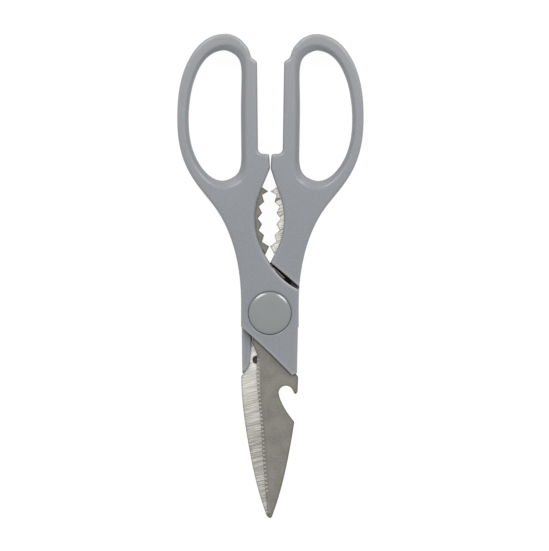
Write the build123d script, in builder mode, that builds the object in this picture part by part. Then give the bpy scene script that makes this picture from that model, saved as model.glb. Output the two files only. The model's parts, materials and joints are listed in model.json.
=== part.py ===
from build123d import *
import os
from math import cos, degrees, radians, sin

# Kitchen shears with moulded plastic handles, lying closed on their rear face.
# X runs across the shears, +Y runs from the pivot towards the finger bows, +Z is up.
# The origin is on the pivot axis, at the flat crown of the rear cap, where the shears touch the table.
# Each half is a stamped steel blade with its tang moulded into a one-piece handle.
# The front half has its bow on the left and its blade on the right, above the mid plane.
# The rear half is the same handle and blade, turned half a turn about the long axis.

# Stack through the pivot, from the mid plane outwards, the same on both sides
blade_thick = 2.2
blade_gap = 0.06
cover_thick = 2.9
cap_proud = 1.1

mid_z = cap_proud + cover_thick + blade_thick + blade_gap / 2
inner_z = mid_z + blade_gap / 2
outer_z = inner_z + blade_thick
face_z = outer_z + cover_thick
back_z = cap_proud
long_axis = Axis((0, 0, mid_z), (0, 1, 0))

# Cutters run this far past what they cut
overrun = 2.0

# Handle, in plan
grip_length = 118.0
bow_reach = 39.45
waist_half = 12.2
foot_inset = 0.6
foot_y = -25.3
diagonal_inset = 2.7
diagonal_low_y = -26.4
diagonal_high_y = -5.8
diagonal_bulge = 0.35
flare_y = 3.0
shoulder_y = 9.9
crotch_y = 21.5
crotch_gap = 0.2
crossing_sag = 1.4
block_end_y = 9.4
block_reach = 2.0
block_sag = -0.2
lug_high_y = 67.35
lug_height = 6.15
lug_radius = 1.0
lug_low_radius = 2.5
stop_gap = 0.12
stop_lean = 0.4
fork_half = 5.7
fork_low_half = 5.2
fork_radius = 2.3
step_drop = 11.7
step_rise = 4.2
step_depth = 3.2
step_inner_radius = 0.6
step_outer_radius = 1.3
crest_end_lean = 20.0
foot_half = waist_half - foot_inset
step_y = grip_length - step_drop
block_foot_y = diagonal_low_y - overrun
crotch = (-crotch_gap, crotch_y)
shoulder = (waist_half, shoulder_y)
foot = (foot_half, foot_y)
diagonal_low = (waist_half - diagonal_inset, diagonal_low_y)
diagonal_high = (-waist_half, diagonal_high_y)
step_corner_shares = (0.77, 0.44)

# Outer side of a bow: from the waist up to the lug's height, then on over the crest to the step.
# The first table is in shares of waist to reach and of flare to lug, the second in shares of fork to reach
# and of lug to end, the third in shares of fork to reach and of the step's drop, counted down from the end.
flare_shares = [(0.039, 0.236), (0.153, 0.433), (0.382, 0.63), (0.627, 0.762), (0.832, 0.893)]
crest_shares = [(0.982, 0.115), (1.0, 0.302), (0.964, 0.58), (0.826, 0.822), (0.652, 0.951), (0.482, 0.998)]
brow_shares = [(0.34, 0.009), (0.263, 0.09), (0.198, 0.217), (0.144, 0.389)]

# Finger hole, in shares of its own box, and the bevel round it, which is widest at the bottom
bar_width = 6.6
outer_wall = 4.85
end_wall = 6.9
hole_low_y = 56.0
hole_shares = [(0.363, 1.0), (0.613, 0.958), (0.857, 0.812), (0.961, 0.659), (1.0, 0.452), (0.919, 0.236),
               (0.712, 0.082), (0.531, 0.019), (0.385, 0.0), (0.219, 0.013), (0.061, 0.061), (0.005, 0.135),
               (0.0, 0.222), (0.006, 0.39), (0.009, 0.603), (0.0, 0.803), (0.01, 0.879), (0.058, 0.938),
               (0.213, 0.988)]
bar_bevel = 2.3
outer_bevel = 1.5
low_bevel = 3.3
high_bevel = 2.6
bevel_depth = 2.4

# Roundings of a handle's edges
edge_radius = 1.4
ridge_radius = 1.2
wall_radius = 1.5
cut_radius = 0.35

# Nutcracker jaws: two facing arcs of teeth, which the plastic follows further out
jaw_y = 40.0
jaw_half_gap = 3.5
jaw_tip_radius = 26.3
tooth_count = 6
tooth_pitch = 4.76
tooth_depth = 1.7
tooth_end_lean = 1.2
low_tooth_reach = 0.3
low_tooth_lean = 1.0
jaw_show = 1.3
jaw_run_on = 1.65
jaw_high_angle = 25.0
jaw_low_angle = 32.0
rear_jaw_shift = 0.7
jaw_centre_x = jaw_tip_radius - jaw_half_gap
jaw_cover_radius = jaw_tip_radius + tooth_depth + jaw_show

# Blade, in plan
blade_length = 86.75
blade_inset = 0.15
side_wall = 2.3
hub_wall = 1.5
neck_low_y = -23.6
neck_shares = (0.6, 0.35)
blade_shoulder_y = -26.9
blade_shoulder_radius = 0.5
blade_half = waist_half - blade_inset
neck_half = waist_half - side_wall
hub_radius = waist_half - hub_wall
spine_shares = [(0.103, 0.991), (0.486, 0.815), (0.769, 0.62), (0.921, 0.478)]
edge_shares = [(-0.447, 0.199), (-0.446, 0.282), (-0.422, 0.363), (-0.332, 0.478), (-0.245, 0.634),
               (-0.176, 0.77), (-0.087, 0.913), (-0.037, 0.982)]
tip_shares = (0.036, 1.0)
heel_shares = [(-0.581, 0.11), (-0.609, 0.149), (-0.554, 0.166)]

# Upper edge of the blade beside the crossing and the tang's hidden outline, in shares of waist and crotch
# height, and of waist and finger hole height
crossing_shares = [(0.813, 0.28), (0.58, 0.58), (0.53, 0.684), (0.154, 0.888), (-0.098, 0.972), (-0.2, 1.1)]
tang_shares = [(-0.5, 0.99), (-0.7, 1.01), (-0.95, 0.965), (-1.3, 0.82), (-1.02, 0.64), (-0.78, 0.46),
               (-0.72, 0.22)]
rear_tip_step = 0.45
rear_edge_share = 0.31
key_radius = 2.0
key_shares = [(-0.83, 0.83), (-0.67, 0.57)]
heel_hole_radius = 1.7
heel_hole_x = 5.55
heel_hole_y = -19.8

# Ground edge of a blade, its micro-serrations and the hollow of its inner face
edge_bevel = 1.2
edge_land = 0.5
serration_count = 34
serration_pitch = 1.69
serration_half = 0.42
serration_depth = 0.13
serration_relief = 0.1
serration_start = 2.4
serration_slant_share = 0.85
hollow_depth = 0.12
hollow_y = -24.0
hollow_slope = 0.3

# Lip of a handle that wraps the blade's back edge and laps over its inner face
lip_rise = 1.9
lip_radius = 0.8
lip_high_shares = (0.87, 0.19)
lip_mid_shares = (0.62, 0.403)
lip_turn_shares = (0.685, 0.82)
lip_end_share = 1.02

# Bottle opener notch in the front blade's spine, with its mouth and hook in shares of its radius
opener_x = 6.9
opener_y = -33.85
opener_radius = 3.1
mouth_shares = [(1.65, -4.6), (1.103, -3.88), (0.432, -3.0), (-0.42, -1.64), (-0.86, -0.6)]
hook_shares = [(0.94, 0.37), (1.07, 0.12), (1.277, -0.113), (1.5, 0.02), (1.585, 0.27), (1.66, 0.62)]

# Pivot rivet and its washers
rivet_radius = 3.0
rivet_clearance = 0.05
head_radius = 5.25
head_thick = 1.1
head_run = 0.03
head_chamfer = 0.3
washer_radius = 6.0
washer_thick = 0.6
washer_clearance = 0.1

# Snap-in caps over the rivet's heads
cap_radius = 8.9
cap_clearance = 0.4
cap_seat_depth = 0.45
cap_rim = 0.1
crown_radius = 3.0
cap_shoulder_inset = 1.3
cap_shoulder_drop = 0.42
cap_wall = 1.2
skirt_radius = 7.1
skirt_wall = 0.8
skirt_clearance = 0.05
skirt_lift = 0.3


def turned_over(shape):
    """A piece of the front half, turned half a turn about the shears' long axis into the rear half."""
    return shape.rotate(long_axis, 180)


def between(low, high, share):
    """The place that lies this share of the way from low to high."""
    return low + (high - low) * share


def bulged(start, end, bulge):
    """The middle of the line from start to end, moved to its left by the bulge."""
    along = Vector(*end) - Vector(*start)
    left = Vector(-along.Y, along.X).normalized()
    middle = Vector(*start) + along / 2 + left * bulge
    return (middle.X, middle.Y)


def jaw_point(radius, angle, shift):
    """A point of the left jaw, at this radius and angle from its centre, shifted towards the other jaw."""
    return (jaw_centre_x - radius * cos(radians(angle)) + shift, jaw_y + radius * sin(radians(angle)))


def nearest(items, place):
    """The vertex or edge whose place in plan is closest to this one."""
    def distance(item):
        centre = item.center()
        return (centre.X - place[0]) ** 2 + (centre.Y - place[1]) ** 2
    return min(items, key=distance)


def block_plan(level, jaw_shift=0):
    """Outline of the left-hand handle seen from the front, at this height, run on past its cut edges."""
    low_side = (-waist_half, block_foot_y)
    flare_start = (-waist_half, flare_y)
    flare = [(-between(waist_half, bow_reach, x), between(flare_y, lug_high_y, y))
             for x, y in flare_shares]
    crest = [(-between(fork_half, bow_reach, x), between(lug_high_y, grip_length, y))
             for x, y in crest_shares]
    brow = [(-between(fork_half, bow_reach, x), grip_length - y * step_drop) for x, y in brow_shares]
    crest_end = (sin(radians(crest_end_lean)), -cos(radians(crest_end_lean)))
    step_low = (-fork_half, step_y)
    step_high = (-fork_half - step_depth, step_y + step_rise)
    step_corner = (between(step_low[0], step_high[0], step_corner_shares[0]),
                   between(step_low[1], step_high[1], step_corner_shares[1]))
    fork_corner = (-fork_low_half, lug_high_y)
    lug_high = (-stop_gap - stop_lean, lug_high_y)
    lug_low = (-stop_gap, lug_high_y - lug_height)
    jaw_high = jaw_point(jaw_cover_radius, jaw_high_angle, jaw_shift)
    jaw_middle = jaw_point(jaw_cover_radius, 0, jaw_shift)
    jaw_low = jaw_point(jaw_cover_radius, -jaw_low_angle, jaw_shift / 2)
    jaw_end = (between(jaw_low[0], crotch[0], jaw_run_on), between(jaw_low[1], crotch[1], jaw_run_on))
    low_foot = (foot_half, block_foot_y)
    with BuildSketch(Plane.XY.offset(level)) as plan:
        with BuildLine():
            Line(low_side, flare_start)
            Spline(flare_start, *flare, *crest, *brow, step_high, tangents=[(0, 1), crest_end])
            Polyline(step_high, step_corner, step_low, fork_corner, lug_high, lug_low, jaw_high)
            ThreePointArc(jaw_high, jaw_middle, jaw_low)
            Polyline(jaw_low, jaw_end, (waist_half, crotch_y - overrun), shoulder, foot, low_foot, low_side)
        make_face()
        fillet(nearest(plan.vertices(), fork_corner), fork_radius)
        fillet(nearest(plan.vertices(), lug_high), lug_radius)
        fillet(nearest(plan.vertices(), lug_low), lug_low_radius)
        fillet(nearest(plan.vertices(), step_corner), step_inner_radius)
        fillet(nearest(plan.vertices(), step_low), step_outer_radius)
    return plan.sketch


def finger_hole(level, grow):
    """The finger hole's outline at this height, grown by this share of the bevel round it."""
    inner = fork_half + bar_width - grow * bar_bevel
    outer = bow_reach - outer_wall + grow * outer_bevel
    low = hole_low_y - grow * low_bevel
    high = grip_length - end_wall + grow * high_bevel
    points = [(-between(inner, outer, x), between(low, high, y)) for x, y in hole_shares]
    with BuildSketch(Plane.XY.offset(level)) as hole:
        with BuildLine():
            Spline(*points, periodic=True)
        make_face()
    return hole.sketch


def crossing_cut():
    """All that lies past a handle's upper cut edge, beside the other handle's block."""
    side = waist_half + overrun
    with BuildSketch(Plane.XY.offset(back_z)) as cut:
        with BuildLine():
            ThreePointArc(crotch, bulged(crotch, shoulder, -crossing_sag), shoulder)
            Polyline(shoulder, (side, shoulder_y), (side, crotch_y), crotch)
        make_face()
    return cut.sketch


def diagonal_cut():
    """All that lies past a handle's lower cut edge, which runs slantwise over the blade to its foot."""
    side = waist_half + overrun
    below = block_foot_y - overrun
    with BuildSketch(Plane.XY.offset(back_z)) as cut:
        with BuildLine():
            ThreePointArc(diagonal_low, bulged(diagonal_low, diagonal_high, -diagonal_bulge), diagonal_high)
            Polyline(diagonal_high, (-side, diagonal_high_y), (-side, below), (side, below), (side, foot_y),
                     foot, diagonal_low)
        make_face()
    return cut.sketch


def pivot_clearing():
    """All of the plan that the other half sweeps through, below the edge where a handle's block ends."""
    block_end = (-waist_half - block_reach, block_end_y)
    side = waist_half + overrun
    below = block_foot_y - overrun
    with BuildSketch(Plane.XY.offset(back_z)) as clearing:
        with BuildLine():
            ThreePointArc(crotch, bulged(crotch, block_end, block_sag), block_end)
            Polyline(block_end, (block_end[0], below), (side, below), (side, crotch_y), crotch)
        make_face()
    return clearing.sketch


def side_wall_part():
    """The wall of a handle beside its blade's back edge."""
    plan = block_plan(inner_z)
    side = waist_half + overrun
    with BuildPart() as wall:
        with BuildSketch(Plane.XY.offset(inner_z)):
            add(plan)
            with BuildLine():
                Polyline((neck_half, foot_y), (side, foot_y), (side, shoulder_y), (neck_half, shoulder_y),
                         close=True)
            make_face(mode=Mode.INTERSECT)
        extrude(amount=blade_thick)
    return wall.part


def lip_part():
    """The lip of a handle that goes on from that wall round the blade's back edge, past the mid plane."""
    low_z = mid_z - lip_rise
    plan = block_plan(low_z)
    side = waist_half + overrun
    high = (lip_high_shares[0] * waist_half, lip_high_shares[1] * foot_y)
    middle = (lip_mid_shares[0] * waist_half, lip_mid_shares[1] * foot_y)
    turn = (lip_turn_shares[0] * waist_half, lip_turn_shares[1] * foot_y)
    end = (lip_end_share * waist_half, foot_y)
    run = Vector(*turn) - Vector(*middle)
    with BuildPart() as lip:
        with BuildSketch(Plane.XY.offset(low_z)):
            add(plan)
            with BuildLine():
                Polyline(end, (side, foot_y), (side, high[1]), high, middle, turn)
                TangentArc(turn, end, tangent=(run.X, run.Y))
            make_face(mode=Mode.INTERSECT)
        extrude(amount=outer_z - low_z)
        rim = lip.faces().sort_by(Axis.Z)[0].edges()
        fillet(rim, lip_radius)
    return lip.part


def blade_place(shares, length=blade_length):
    """A point of the blade below the pivot, from its shares of the blade's half width and length."""
    return (shares[0] * blade_half, -shares[1] * length)


def blade_plan(level, length, edge_share, jaw_shift):
    """Outline of a blade with its tang and jaw teeth. Its edge ends at this share of its half width."""
    pitch_angle = degrees(tooth_pitch / jaw_tip_radius)
    end_angle = (tooth_count - 1) / 2 * pitch_angle
    teeth = [jaw_point(jaw_tip_radius - low_tooth_reach, -end_angle - low_tooth_lean, jaw_shift / 2)]
    for tooth in range(1, tooth_count):
        angle = tooth * pitch_angle - end_angle
        teeth.append(jaw_point(jaw_tip_radius + tooth_depth, angle - pitch_angle / 2, jaw_shift))
        teeth.append(jaw_point(jaw_tip_radius, angle, jaw_shift))
    teeth.append(jaw_point(jaw_cover_radius + jaw_show, end_angle + tooth_end_lean, jaw_shift))
    spine = [blade_place(s, length) for s in spine_shares]
    edge = [blade_place((max(x, -edge_share), y), length) for x, y in edge_shares]
    heel = [blade_place(s, length) for s in heel_shares]
    crossing = [(x * waist_half, y * crotch_y) for x, y in crossing_shares]
    tang = [(x * waist_half, y * hole_low_y) for x, y in tang_shares]
    heel_step = (blade_half, blade_shoulder_y)
    neck = (neck_half, neck_low_y)
    neck_middle = (between(neck_half, blade_half, neck_shares[0]),
                   between(blade_shoulder_y, neck_low_y, neck_shares[1]))
    with BuildSketch(Plane.XY.offset(level)) as plan:
        with BuildLine():
            ThreePointArc(edge[-1], blade_place(tip_shares, length), spine[0])
            Spline(*spine, heel_step)
            Polyline(heel_step, neck_middle, neck, *crossing, *teeth, *tang, *heel, edge[0])
            Spline(*edge)
        make_face()
        fillet(nearest(plan.vertices(), heel_step), blade_shoulder_radius)
        Circle(hub_radius)
        Circle(rivet_radius + rivet_clearance, mode=Mode.SUBTRACT)
        with Locations([(x * waist_half, y * hole_low_y) for x, y in key_shares]):
            Circle(key_radius, mode=Mode.SUBTRACT)
        with Locations((heel_hole_x, heel_hole_y)):
            Circle(heel_hole_radius, mode=Mode.SUBTRACT)
    return plan.sketch


def blade_blank(length=blade_length, edge_share=1, jaw_shift=0):
    """The stamped, bevelled and hollow-ground blade of a half, seen as in the front half."""
    plan = blade_plan(inner_z, length, edge_share, jaw_shift)
    reach = blade_half + overrun
    with BuildPart() as blank:
        extrude(plan, amount=blade_thick)
        outer_face = blank.faces().sort_by(Axis.Z)[-1]
        edge_middle = blade_place(edge_shares[len(edge_shares) // 2])
        edge_line = nearest(outer_face.outer_wire().edges().filter_by(GeomType.BSPLINE), edge_middle)
        chamfer(edge_line, length=edge_bevel, length2=blade_thick - edge_land, reference=outer_face)
        with BuildSketch(Plane.XY.offset(inner_z)):
            with BuildLine():
                Polyline((-reach, hollow_y + hollow_slope * reach), (reach, hollow_y - hollow_slope * reach),
                         (reach, -blade_length - overrun), (-reach, -blade_length - overrun), close=True)
            make_face()
        extrude(amount=hollow_depth, mode=Mode.SUBTRACT)
    return blank.part


def handle_shell(blade, jaw_shift=0):
    """A whole moulded handle, seen as in the front half, with the pocket that its blade fills."""
    block = block_plan(back_z, jaw_shift)
    crossing = crossing_cut()
    diagonal = diagonal_cut()
    clearing = pivot_clearing()
    wall = side_wall_part()
    lip = lip_part()
    back_turn = back_z + bevel_depth
    front_turn = face_z - bevel_depth
    front_bevel = loft([finger_hole(face_z, 1), finger_hole(front_turn, 0)], ruled=True)
    back_bevel = loft([finger_hole(back_z, 1), finger_hole(back_turn, 0)], ruled=True)
    hole = finger_hole(back_z, 0)
    with BuildPart() as shell:
        extrude(block, amount=face_z - back_z)
        extrude(hole, amount=face_z - back_z, mode=Mode.SUBTRACT)
        add(front_bevel, mode=Mode.SUBTRACT)
        add(back_bevel, mode=Mode.SUBTRACT)
        fillet(shell.faces().sort_by(Axis.Z)[-1].outer_wire().edges(), edge_radius)
        fillet(shell.faces().sort_by(Axis.Z)[0].outer_wire().edges(), edge_radius)
        fillet(shell.faces().sort_by(Axis.Z)[-1].inner_wires()[0].edges(), ridge_radius)
        fillet(shell.faces().sort_by(Axis.Z)[0].inner_wires()[0].edges(), ridge_radius)
        fillet(shell.edges().filter_by_position(Axis.Z, back_turn, back_turn), wall_radius)
        fillet(shell.edges().filter_by_position(Axis.Z, front_turn, front_turn), wall_radius)
        extrude(crossing, amount=face_z - back_z, mode=Mode.SUBTRACT)
        extrude(diagonal, amount=face_z - back_z, mode=Mode.SUBTRACT)
        extrude(clearing, amount=outer_z - back_z, mode=Mode.SUBTRACT)
        add(wall)
        add(lip)
        add(blade, mode=Mode.SUBTRACT)
        with BuildSketch(Plane.XY.offset(outer_z)):
            Circle(skirt_radius + skirt_clearance)
        extrude(amount=cover_thick, mode=Mode.SUBTRACT)
        with BuildSketch(Plane.XY.offset(face_z - cap_seat_depth)):
            Circle(cap_radius + cap_clearance)
        extrude(amount=cap_seat_depth, mode=Mode.SUBTRACT)
        front_face = shell.faces().filter_by_position(Axis.Z, face_z, face_z).sort_by(SortBy.AREA)[-1]
        diagonal_middle = bulged(diagonal_low, diagonal_high, -diagonal_bulge)
        fillet(nearest(front_face.outer_wire().edges(), diagonal_middle), cut_radius)
    return shell.part


def cap_shell():
    """A domed snap-in cap with its skirt, over the front end of the rivet."""
    top = face_z + cap_proud
    under = top - cap_wall
    seat = face_z - cap_seat_depth
    low = outer_z + skirt_lift
    bore = skirt_radius - skirt_wall
    crown = (crown_radius, top)
    turn = (cap_radius - cap_shoulder_inset, top - cap_shoulder_drop)
    rim = (cap_radius, face_z + cap_rim)
    with BuildPart() as cap:
        with BuildSketch(Plane.XZ):
            with BuildLine():
                Line((0, top), crown)
                dome = TangentArc(crown, turn, tangent=(1, 0))
                TangentArc(turn, rim, tangent=dome % 1)
                Polyline(rim, (cap_radius, seat), (skirt_radius, seat), (skirt_radius, low), (bore, low),
                         (bore, under), (0, under), (0, top))
            make_face()
        revolve(axis=Axis.Z)
    return cap.part


def washer_ring():
    """A thin washer on the outer face of the front blade, inside the cap's skirt."""
    with BuildPart() as ring:
        with BuildSketch(Plane.XY.offset(outer_z)):
            Circle(washer_radius)
            Circle(rivet_radius + washer_clearance, mode=Mode.SUBTRACT)
        extrude(amount=washer_thick)
    return ring.part


# The rear half is the front one turned over, with its jaw set a little nearer and its blade ground back at the
# edge and the tip, so that it stays hidden behind the front blade
plain_blade = blade_blank()
plain_handle = handle_shell(plain_blade)
rear_blank = blade_blank(blade_length - rear_tip_step, rear_edge_share, rear_jaw_shift)
rear_shell = handle_shell(rear_blank, rear_jaw_shift)
plain_cap = cap_shell()
plain_washer = washer_ring()

os.makedirs("parts", exist_ok=True)

# Front blade, with the bottle opener in its back edge and fine serrations along its cutting edge
with BuildPart() as front_blade:
    add(plain_blade)
    opener_left = (opener_x - opener_radius, opener_y)
    opener_top = (opener_x, opener_y + opener_radius)
    spine_side = blade_half + overrun
    mouth = [(opener_x + x * opener_radius, opener_y + y * opener_radius) for x, y in mouth_shares]
    hook = [(opener_x + x * opener_radius, opener_y + y * opener_radius) for x, y in hook_shares]
    with BuildSketch(Plane.XY.offset(inner_z)) as notch:
        with BuildLine():
            Spline(*mouth, opener_left)
            ThreePointArc(opener_left, opener_top, hook[0])
            Spline(*hook)
            Polyline(hook[-1], (spine_side, hook[-1][1]), (spine_side, mouth[0][1]), mouth[0])
        make_face()
    extrude(amount=blade_thick, mode=Mode.SUBTRACT)
    with BuildLine(mode=Mode.PRIVATE) as edge_path:
        Spline(*[blade_place(s) for s in edge_shares])
    path = edge_path.edges()[0]
    slots = []
    for tick in range(serration_count):
        along = (serration_start + tick * serration_pitch) / path.length
        heading = path.tangent_at(along)
        slant = Vector(-heading.Y, heading.X) * edge_bevel * serration_slant_share
        slant += Vector(0, 0, blade_thick - edge_land)
        root = path.position_at(along) + Vector(0, 0, inner_z + edge_land)
        slots.append(Plane(origin=root + slant / 2, x_dir=heading, z_dir=slant))
    with BuildSketch(*slots):
        mouth_half = serration_half * (1 + serration_relief / serration_depth)
        groove_mouth = [(-mouth_half, -serration_relief), (mouth_half, -serration_relief)]
        Polygon(*groove_mouth, (0, serration_depth), align=None)
    extrude(amount=blade_thick, both=True, mode=Mode.SUBTRACT)
front_blade.part.label = "front_blade"
export_step(front_blade.part, "parts/front_blade.step")

# Rear blade, plain, with its ground inner face towards the viewer
with BuildPart() as rear_blade:
    add(turned_over(rear_blank))
rear_blade.part.label = "rear_blade"
export_step(rear_blade.part, "parts/rear_blade.step")

# Handles
with BuildPart() as front_handle:
    add(plain_handle)
front_handle.part.label = "front_handle"
export_step(front_handle.part, "parts/front_handle.step")

with BuildPart() as rear_handle:
    add(turned_over(rear_shell))
rear_handle.part.label = "rear_handle"
export_step(rear_handle.part, "parts/rear_handle.step")

# Rivet, with a running gap under its front head
front_seat = outer_z + washer_thick + head_run
rear_seat = back_z + cover_thick - washer_thick
with BuildPart() as pivot_rivet:
    with BuildSketch(Plane.XY.offset(rear_seat)):
        Circle(rivet_radius)
    extrude(amount=front_seat - rear_seat)
    with BuildSketch(Plane.XY.offset(front_seat)):
        Circle(head_radius)
    extrude(amount=head_thick)
    with BuildSketch(Plane.XY.offset(rear_seat)):
        Circle(head_radius)
    extrude(amount=-head_thick)
    rims = pivot_rivet.edges().filter_by(GeomType.CIRCLE).sort_by(Axis.Z)
    chamfer([rims[0], rims[-1]], head_chamfer)
pivot_rivet.part.label = "pivot_rivet"
export_step(pivot_rivet.part, "parts/pivot_rivet.step")

# Washers
with BuildPart() as front_washer:
    add(plain_washer)
front_washer.part.label = "front_washer"
export_step(front_washer.part, "parts/front_washer.step")

with BuildPart() as rear_washer:
    add(turned_over(plain_washer))
rear_washer.part.label = "rear_washer"
export_step(rear_washer.part, "parts/rear_washer.step")

# Caps
with BuildPart() as front_cap:
    add(plain_cap)
front_cap.part.label = "front_cap"
export_step(front_cap.part, "parts/front_cap.step")

with BuildPart() as rear_cap:
    add(turned_over(plain_cap))
rear_cap.part.label = "rear_cap"
export_step(rear_cap.part, "parts/rear_cap.step")
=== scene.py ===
import bpy
import json
from math import cos, pi, radians, sin
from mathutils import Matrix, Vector

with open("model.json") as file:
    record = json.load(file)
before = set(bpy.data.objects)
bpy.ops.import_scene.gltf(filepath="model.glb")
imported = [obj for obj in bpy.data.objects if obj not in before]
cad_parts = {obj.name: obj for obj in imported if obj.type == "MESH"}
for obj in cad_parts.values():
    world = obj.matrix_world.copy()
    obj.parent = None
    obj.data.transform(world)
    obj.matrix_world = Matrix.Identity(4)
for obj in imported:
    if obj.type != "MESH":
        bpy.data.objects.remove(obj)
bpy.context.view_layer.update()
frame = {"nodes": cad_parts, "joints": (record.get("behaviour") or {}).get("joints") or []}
bpy.ops.object.select_all(action="DESELECT")

# Blades
# Both are stamped from one blank of 2.2 mm stainless strip and tumbled, which leaves a dull, mottled grey
# skin with rounded rims, drawn darker. Their inner faces are then ground on a wheel below the pivot and at
# the jaws, which leaves them bright, with fine lines nearly across the blade.
mm = 0.001
rim_size = 1.2 * mm
crevice_size = 1.4 * mm
edge_shade_size = 1.0 * mm
tip_y = -86.0 * mm
heel_y = -20.0 * mm
wheel_end_y = -4.0 * mm
gap_low_y = 7.0 * mm
gap_middle_y = 14.8 * mm
gap_high_y = 24.0 * mm
gap_depth_size = 12.0 * mm
jaw_start_y = 27.0 * mm
# The real grain and lines are about a tenth of a millimetre apart, so these are drawn coarser.
mottle_size = 5.0 * mm
grain_size = 0.6 * mm
line_long = 9.0 * mm
line_wide = 0.17 * mm
streak_long = 30.0 * mm
streak_wide = 1.5 * mm
grind_lean = 14.0
jaw_line_long = 7.0 * mm
jaw_line_wide = 0.75 * mm
jaw_grind_lean = 28.0
# A face belongs to the flat inner side when its normal points at the other blade by more than this.
inner_facing = 0.9
ground_slot = 1


def linear(code):
    """An sRGB hex colour as linear red, green, blue and alpha."""
    channels = [int(code[i:i + 2], 16) / 255 for i in (1, 3, 5)]
    return [c / 12.92 if c <= 0.04045 else ((c + 0.055) / 1.055) ** 2.4 for c in channels] + [1.0]


def add_node(tree, kind, inputs=None, **settings):
    """Adds a node. Each input is a value, an output, or a node, of which it takes the first output."""
    node = tree.nodes.new(kind)
    for name, value in settings.items():
        setattr(node, name, value)
    for socket, value in (inputs or {}).items():
        if isinstance(value, bpy.types.Node):
            value = next(s for s in value.outputs if s.enabled)
        if isinstance(value, bpy.types.NodeSocket):
            tree.links.new(value, node.inputs[socket])
        else:
            node.inputs[socket].default_value = value
    return node


def empty_material(name):
    """A node material with nothing in it yet, and its node tree."""
    material = bpy.data.materials.new(name)
    material.use_nodes = True
    material.node_tree.nodes.clear()
    return material, material.node_tree


# The tumbled skin is mottled, with a fine paler grain.
blade_steel, tree = empty_material("tumbled_stainless")
place = add_node(tree, "ShaderNodeTexCoord").outputs["Object"]
mottle = add_node(tree, "ShaderNodeTexNoise", {"Vector": place, "Scale": 1 / mottle_size, "Detail": 3.0})
patches = add_node(tree, "ShaderNodeMapRange", {"Value": mottle, "From Min": 0.35, "From Max": 0.65})
tone = add_node(tree, "ShaderNodeMix", {"Factor": patches, "A": linear("#75736d"), "B": linear("#827f79")},
                data_type="RGBA")
grain = add_node(tree, "ShaderNodeTexNoise", {"Vector": place, "Scale": 1 / grain_size, "Detail": 2.0})
specks = add_node(tree, "ShaderNodeMapRange", {"Value": grain, "From Min": 0.35, "From Max": 0.7,
                                               "To Max": 0.4})
tone = add_node(tree, "ShaderNodeMix", {"Factor": specks, "A": tone, "B": linear("#96938c")},
                data_type="RGBA")
# Painted shade: crevices are darkened, but much less so between the teeth of the jaws.
height = add_node(tree, "ShaderNodeSeparateXYZ", {"Vector": place}).outputs["Y"]
at_jaw = add_node(tree, "ShaderNodeMath", {0: height, 1: jaw_start_y}, operation="GREATER_THAN")
depth = add_node(tree, "ShaderNodeMapRange", {"Value": at_jaw, "To Min": 0.95, "To Max": 0.1})
around = add_node(tree, "ShaderNodeAmbientOcclusion", {"Distance": crevice_size}, samples=12)
painted_crevice_shade = add_node(tree, "ShaderNodeMapRange", {"Value": around, "From Min": 0.5, "From Max": 0.78,
                                                 "To Min": depth, "To Max": 0.0})
tone = add_node(tree, "ShaderNodeMix", {"Factor": painted_crevice_shade, "A": tone, "B": linear("#2b2724")},
                data_type="RGBA")
# Painted shade: between cap and jaws the steel is painted dark where it lies sunk between the closed handles.
above = add_node(tree, "ShaderNodeMath", {0: height, 1: gap_low_y}, operation="GREATER_THAN")
below = add_node(tree, "ShaderNodeMath", {0: height, 1: gap_high_y}, operation="LESS_THAN")
in_gap = add_node(tree, "ShaderNodeMath", {0: above, 1: below}, operation="MULTIPLY")
sky = add_node(tree, "ShaderNodeAmbientOcclusion", {"Distance": gap_depth_size}, samples=12)
painted_gap_shade = add_node(tree, "ShaderNodeMapRange", {"Value": sky, "From Min": 0.35, "From Max": 0.6,
                                             "To Min": in_gap, "To Max": 0.0})
tone = add_node(tree, "ShaderNodeMix", {"Factor": painted_gap_shade, "A": tone, "B": linear("#221f1c")},
                data_type="RGBA")
# The rims are darker than the skin. In the gap they take its painted shade below its middle, and are
# pale above it as a painted highlight.
upper = add_node(tree, "ShaderNodeMath", {0: height, 1: gap_middle_y}, operation="GREATER_THAN")
gap_rim_shade_and_highlight = add_node(tree, "ShaderNodeMix", {"Factor": upper, "A": linear("#221f1c"), "B": linear("#a5a29a")},
                   data_type="RGBA")
rim_tone = add_node(tree, "ShaderNodeMix", {"Factor": in_gap, "A": linear("#5a5853"), "B": gap_rim_shade_and_highlight},
                    data_type="RGBA")
inside = add_node(tree, "ShaderNodeAmbientOcclusion", {"Distance": rim_size}, samples=12, inside=True)
rims = add_node(tree, "ShaderNodeMapRange", {"Value": inside, "From Min": 0.5, "From Max": 0.92,
                                             "To Min": 0.8, "To Max": 0.0})
tone = add_node(tree, "ShaderNodeMix", {"Factor": rims, "A": tone, "B": rim_tone}, data_type="RGBA")
skin = add_node(tree, "ShaderNodeBsdfPrincipled", {"Base Color": tone, "Metallic": 1.0, "Roughness": 0.46})
add_node(tree, "ShaderNodeOutputMaterial", {"Surface": skin})

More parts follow.
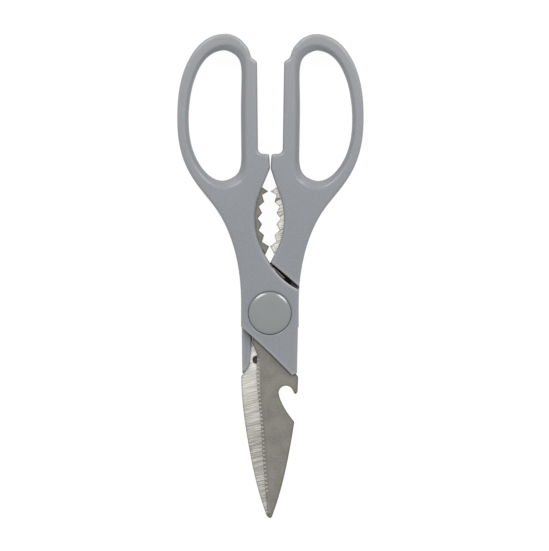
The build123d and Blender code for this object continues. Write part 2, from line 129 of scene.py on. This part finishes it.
# The rear blade is the same blank turned over, so its ground lines lean the other way.
for name, side in (("front_blade", -1.0), ("rear_blade", 1.0)):
    # Painted light: from the tip, the ground face is painted a little duller to half way, and then brighter
    # up to the heel, as the light falls along it.
    ground_steel, tree = empty_material(name + "_ground_stainless")
    place = add_node(tree, "ShaderNodeTexCoord").outputs["Object"]
    height = add_node(tree, "ShaderNodeSeparateXYZ", {"Vector": place}).outputs["Y"]
    along = add_node(tree, "ShaderNodeMapRange", {"Value": height, "From Min": tip_y, "From Max": heel_y})
    tone = add_node(tree, "ShaderNodeValToRGB", {"Fac": along})
    stops = tone.color_ramp.elements
    stops[0].color = linear("#a5a19a")
    stops[1].color = linear("#f2efe7")
    for share, code in ((0.22, "#9b9790"), (0.44, "#908d86"), (0.73, "#afada6"), (0.94, "#cfccc5")):
        stops.new(share).color = linear(code)
    # The wheel leaves fine lines, dark and light, over broad faint streaks.
    lean = (0.0, 0.0, radians(side * grind_lean))
    line_size = (line_long, line_wide, line_long)
    lined = add_node(tree, "ShaderNodeMapping", {"Vector": place, "Rotation": lean, "Scale": line_size},
                     vector_type="TEXTURE")
    lines = add_node(tree, "ShaderNodeTexNoise", {"Vector": lined, "Scale": 1.0, "Detail": 2.0})
    dark = add_node(tree, "ShaderNodeMapRange", {"Value": lines, "From Min": 0.3, "From Max": 0.5,
                                                 "To Min": 0.75, "To Max": 0.0})
    tone = add_node(tree, "ShaderNodeMix", {"Factor": dark, "A": tone, "B": linear("#84827b")},
                    data_type="RGBA")
    light = add_node(tree, "ShaderNodeMapRange", {"Value": lines, "From Min": 0.5, "From Max": 0.68,
                                                  "To Max": 0.8})
    tone = add_node(tree, "ShaderNodeMix", {"Factor": light, "A": tone, "B": linear("#f0eee6")},
                    data_type="RGBA")
    streak_size = (streak_long, streak_wide, streak_long)
    streaked = add_node(tree, "ShaderNodeMapping", {"Vector": place, "Rotation": lean, "Scale": streak_size},
                        vector_type="TEXTURE")
    streaks = add_node(tree, "ShaderNodeTexNoise", {"Vector": streaked, "Scale": 1.0, "Detail": 1.0})
    broad = add_node(tree, "ShaderNodeMapRange", {"Value": streaks, "From Min": 0.3, "From Max": 0.5,
                                                  "To Min": 0.12, "To Max": 0.0})
    tone = add_node(tree, "ShaderNodeMix", {"Factor": broad, "A": tone, "B": linear("#8c8a84")},
                    data_type="RGBA")
    # The jaws are ground more coarsely, and show wider scores that lean more.
    jaw_lean = (0.0, 0.0, radians(side * jaw_grind_lean))
    score_size = (jaw_line_long, jaw_line_wide, jaw_line_long)
    scored = add_node(tree, "ShaderNodeMapping", {"Vector": place, "Rotation": jaw_lean, "Scale": score_size},
                      vector_type="TEXTURE")
    scores = add_node(tree, "ShaderNodeTexNoise", {"Vector": scored, "Scale": 1.0, "Detail": 1.0})
    at_jaw = add_node(tree, "ShaderNodeMath", {0: height, 1: jaw_start_y}, operation="GREATER_THAN")
    deep = add_node(tree, "ShaderNodeMapRange", {"Value": scores, "From Min": 0.38, "From Max": 0.48,
                                                 "To Min": at_jaw, "To Max": 0.0})
    tone = add_node(tree, "ShaderNodeMix", {"Factor": deep, "A": tone, "B": linear("#84827b")},
                    data_type="RGBA")
    # The rims are darker. Below the heel, painted shade darkens the face beside the other blade's edge.
    inside = add_node(tree, "ShaderNodeAmbientOcclusion", {"Distance": rim_size}, samples=12, inside=True)
    rims = add_node(tree, "ShaderNodeMapRange", {"Value": inside, "From Min": 0.5, "From Max": 0.85,
                                                 "To Min": 0.75, "To Max": 0.0})
    tone = add_node(tree, "ShaderNodeMix", {"Factor": rims, "A": tone, "B": linear("#716f69")},
                    data_type="RGBA")
    depth = add_node(tree, "ShaderNodeMapRange", {"Value": height, "From Min": heel_y - crevice_size,
                                                  "From Max": heel_y, "To Min": 0.85, "To Max": 0.1})
    around = add_node(tree, "ShaderNodeAmbientOcclusion", {"Distance": edge_shade_size}, samples=12)
    painted_crevice_shade = add_node(tree, "ShaderNodeMapRange", {"Value": around, "From Min": 0.45, "From Max": 0.72,
                                                     "To Min": depth, "To Max": 0.0})
    tone = add_node(tree, "ShaderNodeMix", {"Factor": painted_crevice_shade, "A": tone, "B": linear("#2b2724")},
                    data_type="RGBA")
    skin = add_node(tree, "ShaderNodeBsdfPrincipled", {"Base Color": tone, "Metallic": 1.0,
                                                       "Roughness": 0.5})
    add_node(tree, "ShaderNodeOutputMaterial", {"Surface": skin})

    node = frame["nodes"][name]
    node.data.materials[0] = blade_steel
    node.data.materials.append(ground_steel)
    for face in node.data.polygons:
        off_waist = face.center.y < wheel_end_y or face.center.y > jaw_start_y
        if face.normal.z * side > inner_facing and off_waist:
            face.material_index = ground_slot

# Serrations
# The front blade's bevel is ground after tumbling, and 34 fine grooves are then cut across it. Both are
# brighter than the skin, and the grooves are brighter still, with a painted glint. Towards the tip both
# get duller.
bevel_dull_y = -36.0 * mm
bevel_bright_y = -22.0 * mm
# The bevel's normal points left by more than bevel_out, up by an amount between these two, and along the
# blade by bevel_along. The sides of a groove turn away from that by more than groove_turn.
bevel_out = -0.6
bevel_up_least = 0.4
bevel_up_most = 0.7
bevel_along = -0.07
groove_turn = 0.15
bevel_slot = 2
groove_slot = 3
# The grooves' bright colours are partly their ground finish and partly a painted glint.
for name, dull, bright, tip_code in (("ground_bevel", "#a8a59e", "#d0cdc5", "#918e87"),
                                      ("ground_grooves", "#e0ddd5", "#f8f6f0", "#e4e1d9")):
    cut_steel, tree = empty_material(name)
    place = add_node(tree, "ShaderNodeTexCoord").outputs["Object"]
    scratch = add_node(tree, "ShaderNodeTexNoise", {"Vector": place, "Scale": 1 / line_wide, "Detail": 2.0})
    tone = add_node(tree, "ShaderNodeMix", {"Factor": scratch, "A": linear(dull), "B": linear(bright)},
                    data_type="RGBA")
    height = add_node(tree, "ShaderNodeSeparateXYZ", {"Vector": place}).outputs["Y"]
    tip_dulling = add_node(tree, "ShaderNodeMapRange", {"Value": height, "From Min": bevel_dull_y,
                                                 "From Max": bevel_bright_y, "To Min": 1.0, "To Max": 0.0})
    tone = add_node(tree, "ShaderNodeMix", {"Factor": tip_dulling, "A": tone, "B": linear(tip_code)},
                    data_type="RGBA")
    skin = add_node(tree, "ShaderNodeBsdfPrincipled", {"Base Color": tone, "Metallic": 0.6,
                                                       "Roughness": 0.45})
    add_node(tree, "ShaderNodeOutputMaterial", {"Surface": skin})
    frame["nodes"]["front_blade"].data.materials.append(cut_steel)
for face in frame["nodes"]["front_blade"].data.polygons:
    if face.normal.x < bevel_out and bevel_up_least < face.normal.z < bevel_up_most:
        in_groove = abs(face.normal.y - bevel_along) > groove_turn
        face.material_index = groove_slot if in_groove else bevel_slot

# Handles
# Each half's handle is one injection moulding of grey polypropylene round the blade's tang. The mould was
# spark-eroded, so the skin is satin with a faint orange peel and small pale flecks, and its edges carry a
# painted highlight.
cloud_size = 20.0 * mm
edge_highlight_size = 1.8 * mm
round_size = 1.5 * mm
crease_size = 4.0 * mm
cap_seat_radius = 11.0 * mm
bow_low_y = 30.0 * mm
bow_high_y = 110.0 * mm
# The real peel is about a tenth of a millimetre across, so it and its flecks are drawn coarser.
fleck_size = 0.7 * mm
peel_size = 0.8 * mm
peel_depth = 0.05 * mm
handle_plastic, tree = empty_material("moulded_polypropylene")
place = add_node(tree, "ShaderNodeTexCoord").outputs["Object"]
clouds = add_node(tree, "ShaderNodeTexNoise", {"Vector": place, "Scale": 1 / cloud_size, "Detail": 2.0})
tone = add_node(tree, "ShaderNodeMix", {"Factor": clouds, "A": linear("#83878c"), "B": linear("#8b8e93")},
                data_type="RGBA")
flecks = add_node(tree, "ShaderNodeTexNoise", {"Vector": place, "Scale": 1 / fleck_size, "Detail": 3.0})
pale = add_node(tree, "ShaderNodeMapRange", {"Value": flecks, "From Min": 0.45, "From Max": 0.75,
                                             "To Max": 0.35})
tone = add_node(tree, "ShaderNodeMix", {"Factor": pale, "A": tone, "B": linear("#9d9fa2")},
                data_type="RGBA")
# The bows get paler towards their ends.
height = add_node(tree, "ShaderNodeSeparateXYZ", {"Vector": place}).outputs["Y"]
paler_to_ends = add_node(tree, "ShaderNodeMapRange", {"Value": height, "From Min": bow_low_y,
                                             "From Max": bow_high_y, "To Max": 0.35})
tone = add_node(tree, "ShaderNodeMix", {"Factor": paler_to_ends, "A": tone, "B": linear("#a6a7a9")},
                data_type="RGBA")
# Painted highlight: all edges are painted paler, except the one round the cap's seat.
flat = add_node(tree, "ShaderNodeVectorMath", {0: place, 1: (1.0, 1.0, 0.0)}, operation="MULTIPLY")
away = add_node(tree, "ShaderNodeVectorMath", {0: flat}, operation="LENGTH").outputs["Value"]
at_cap = add_node(tree, "ShaderNodeMath", {0: away, 1: cap_seat_radius}, operation="LESS_THAN")
edge_highlight_amount = add_node(tree, "ShaderNodeMapRange", {"Value": at_cap, "To Min": 0.7, "To Max": 0.0})
inside = add_node(tree, "ShaderNodeAmbientOcclusion", {"Distance": edge_highlight_size}, samples=12, inside=True)
painted_edge_highlight = add_node(tree, "ShaderNodeMapRange", {"Value": inside, "From Min": 0.55, "From Max": 0.93,
                                               "To Min": edge_highlight_amount, "To Max": 0.0})
tone = add_node(tree, "ShaderNodeMix", {"Factor": painted_edge_highlight, "A": tone, "B": linear("#b0b2b4")},
                data_type="RGBA")
# Painted shade: creases are darkened. Round the cap even a shallow one shows, painted pale as a highlight
# on the side towards the bows.
open_sky = add_node(tree, "ShaderNodeMapRange", {"Value": at_cap, "To Min": 0.8, "To Max": 0.97})
around = add_node(tree, "ShaderNodeAmbientOcclusion", {"Distance": crease_size}, samples=12)
painted_crease_shade = add_node(tree, "ShaderNodeMapRange", {"Value": around, "From Min": 0.3, "From Max": open_sky,
                                                "To Min": 0.8, "To Max": 0.0})
lit = add_node(tree, "ShaderNodeMapRange", {"Value": height, "From Min": -cap_seat_radius,
                                            "From Max": cap_seat_radius, "To Max": at_cap})
crease_shade_and_highlight = add_node(tree, "ShaderNodeMix", {"Factor": lit, "A": linear("#4c4f52"),
                                               "B": linear("#a4a7aa")}, data_type="RGBA")
tone = add_node(tree, "ShaderNodeMix", {"Factor": painted_crease_shade, "A": tone, "B": crease_shade_and_highlight},
                data_type="RGBA")
# The peel breaks up the gloss, and the edges shade as softly as the mould has rounded them.
peel = add_node(tree, "ShaderNodeTexNoise", {"Vector": place, "Scale": 1 / peel_size, "Detail": 2.0})
rounded = add_node(tree, "ShaderNodeBevel", {"Radius": round_size}, samples=8)
bump = add_node(tree, "ShaderNodeBump", {"Strength": 0.25, "Distance": peel_depth, "Height": peel,
                                         "Normal": rounded})
skin = add_node(tree, "ShaderNodeBsdfPrincipled", {"Base Color": tone, "Roughness": 0.3, "IOR": 1.49,
                                                   "Normal": bump})
add_node(tree, "ShaderNodeOutputMaterial", {"Surface": skin})
for name in ("front_handle", "rear_handle"):
    frame["nodes"][name].data.materials[0] = handle_plastic

# Pivot
# One headed rivet of turned steel holds both halves, with a thin washer under each of its heads. Turning
# leaves faint rings. The real ones are a few hundredths of a millimetre apart, so these are drawn coarser.
turning_size = 4.0 * mm
pivot_steel, tree = empty_material("turned_steel")
place = add_node(tree, "ShaderNodeTexCoord").outputs["Object"]
turning = add_node(tree, "ShaderNodeTexWave", {"Vector": place, "Scale": 1 / turning_size,
                                               "Distortion": 0.5},
                   wave_type="RINGS", rings_direction="Z")
tone = add_node(tree, "ShaderNodeMix", {"Factor": turning, "A": linear("#a09e98"), "B": linear("#b4b2ac")},
                data_type="RGBA")
skin = add_node(tree, "ShaderNodeBsdfPrincipled", {"Base Color": tone, "Metallic": 1.0, "Roughness": 0.35})
add_node(tree, "ShaderNodeOutputMaterial", {"Surface": skin})
for name in ("pivot_rivet", "front_washer", "rear_washer"):
    frame["nodes"][name].data.materials[0] = pivot_steel

# Caps
# A snap-in cap of grey polypropylene from a polished mould covers each head of the rivet. It is glossier
# than the handles and a little greener, and its rim catches the light.
cap_cloud_size = 6.0 * mm
cap_crease_size = 1.0 * mm
cap_plastic, tree = empty_material("gloss_polypropylene")
place = add_node(tree, "ShaderNodeTexCoord").outputs["Object"]
clouds = add_node(tree, "ShaderNodeTexNoise", {"Vector": place, "Scale": 1 / cap_cloud_size, "Detail": 2.0})
tone = add_node(tree, "ShaderNodeMix", {"Factor": clouds, "A": linear("#787c7c"), "B": linear("#7f8283")},
                data_type="RGBA")
# Painted shade: creases are darkened.
around = add_node(tree, "ShaderNodeAmbientOcclusion", {"Distance": cap_crease_size}, samples=12)
painted_crease_shade = add_node(tree, "ShaderNodeMapRange", {"Value": around, "From Min": 0.2, "From Max": 0.8,
                                                "To Min": 0.6, "To Max": 0.0})
tone = add_node(tree, "ShaderNodeMix", {"Factor": painted_crease_shade, "A": tone, "B": linear("#5c5f60")},
                data_type="RGBA")
skin = add_node(tree, "ShaderNodeBsdfPrincipled", {"Base Color": tone, "Roughness": 0.2, "IOR": 1.58,
                                                   "Specular IOR Level": 1.0})
add_node(tree, "ShaderNodeOutputMaterial", {"Surface": skin})
for name in ("front_cap", "rear_cap"):
    frame["nodes"][name].data.materials[0] = cap_plastic

# Floor
# The shears lie on a plain white studio table. It glows a little to the camera and in reflections, so that
# it reads white there, and still keeps a faint shadow.
floor_wide = 6.0
floor_glow = 0.95


def looked_at(tree):
    """1 for what the camera sees, also mirrored or through something clear, and 0 for light on its way."""
    path = add_node(tree, "ShaderNodeLightPath")
    seen = add_node(tree, "ShaderNodeMath", {0: path.outputs["Is Camera Ray"],
                                             1: path.outputs["Is Glossy Ray"]}, operation="MAXIMUM")
    return add_node(tree, "ShaderNodeMath", {0: seen, 1: path.outputs["Is Transmission Ray"]},
                    operation="MAXIMUM")


bpy.ops.mesh.primitive_plane_add(size=floor_wide, location=(0.0, 0.0, 0.0))
floor = bpy.context.object
floor.name = "floor"
floor_paint, tree = empty_material("table_paint")
seen = looked_at(tree)
matte = add_node(tree, "ShaderNodeBsdfDiffuse", {"Color": linear("#e8e8e8")})
faint = add_node(tree, "ShaderNodeBsdfDiffuse", {"Color": linear("#585858")})
glow = add_node(tree, "ShaderNodeEmission", {"Color": linear("#ffffff"), "Strength": floor_glow})
shown = add_node(tree, "ShaderNodeAddShader", {0: faint, 1: glow})
mix = add_node(tree, "ShaderNodeMixShader", {0: seen, 1: matte, 2: shown})
add_node(tree, "ShaderNodeOutputMaterial", {"Surface": mix})
floor.data.materials.append(floor_paint)

# Light
# Two softboxes stand beyond the bows, to the left and right, and a white room fills the shadows. The room is
# brighter to the eye than to the shears, so that it reads plain white behind them and in their steel.
room_fill = 0.6
room_seen = 1.0
softbox_wide = 0.44
softbox_high = 0.55
softbox_away = 1.2
softbox_radiance = 6.2
softbox_elevation = 40.0
world = bpy.data.worlds.new("white_room")
bpy.context.scene.world = world
world.use_nodes = True
tree = world.node_tree
tree.nodes.clear()
strength = add_node(tree, "ShaderNodeMapRange", {"Value": looked_at(tree), "To Min": room_fill,
                                                 "To Max": room_seen})
sky = add_node(tree, "ShaderNodeBackground", {"Color": linear("#ffffff"), "Strength": strength})
add_node(tree, "ShaderNodeOutputWorld", {"Surface": sky})

level = cos(radians(softbox_elevation))
for name, azimuth in (("softbox_left", -30.0), ("softbox_right", 40.0)):
    data = bpy.data.lights.new(name, "AREA")
    data.shape = "RECTANGLE"
    data.size = softbox_wide
    data.size_y = softbox_high
    data.energy = softbox_radiance * pi * softbox_wide * softbox_high
    lamp = bpy.data.objects.new(name, data)
    away = Vector((sin(radians(azimuth)) * level, cos(radians(azimuth)) * level,
                   sin(radians(softbox_elevation))))
    lamp.location = away * softbox_away
    lamp.rotation_euler = away.to_track_quat("Z", "Y").to_euler()
    bpy.context.scene.collection.objects.link(lamp)

# Camera
# The shears are photographed lying flat, from straight above with a long lens, blades towards the bottom
# of the picture and turned by a sixth of a degree.
picture_wide = 549
picture_high = 551
pivot_pixel_x = 269.85
pivot_pixel_y = 313.0
mm_per_pixel = 0.42338
roll = radians(0.17)
lens_mm = 900.0
sensor_mm = 36.0
clip_near = 0.01
clip_far = 50.0
pivot_height = frame["joints"][0]["pos_m"][2]
view_high = picture_high * mm_per_pixel * mm
camera_distance = view_high * lens_mm / sensor_mm
centre_right = (picture_wide / 2 - pivot_pixel_x) * mm_per_pixel * mm
centre_up = (pivot_pixel_y - picture_high / 2) * mm_per_pixel * mm
camera_data = bpy.data.cameras.new("camera")
camera_data.lens = lens_mm
camera_data.sensor_width = sensor_mm
camera_data.clip_start = clip_near
camera_data.clip_end = clip_far
camera = bpy.data.objects.new("camera", camera_data)
camera.location = (centre_right * cos(roll) - centre_up * sin(roll),
                   centre_right * sin(roll) + centre_up * cos(roll),
                   pivot_height + camera_distance)
camera.rotation_euler = (0.0, 0.0, roll)
bpy.context.scene.collection.objects.link(camera)
bpy.context.scene.camera = camera
bpy.context.scene.view_settings.view_transform = "Standard"
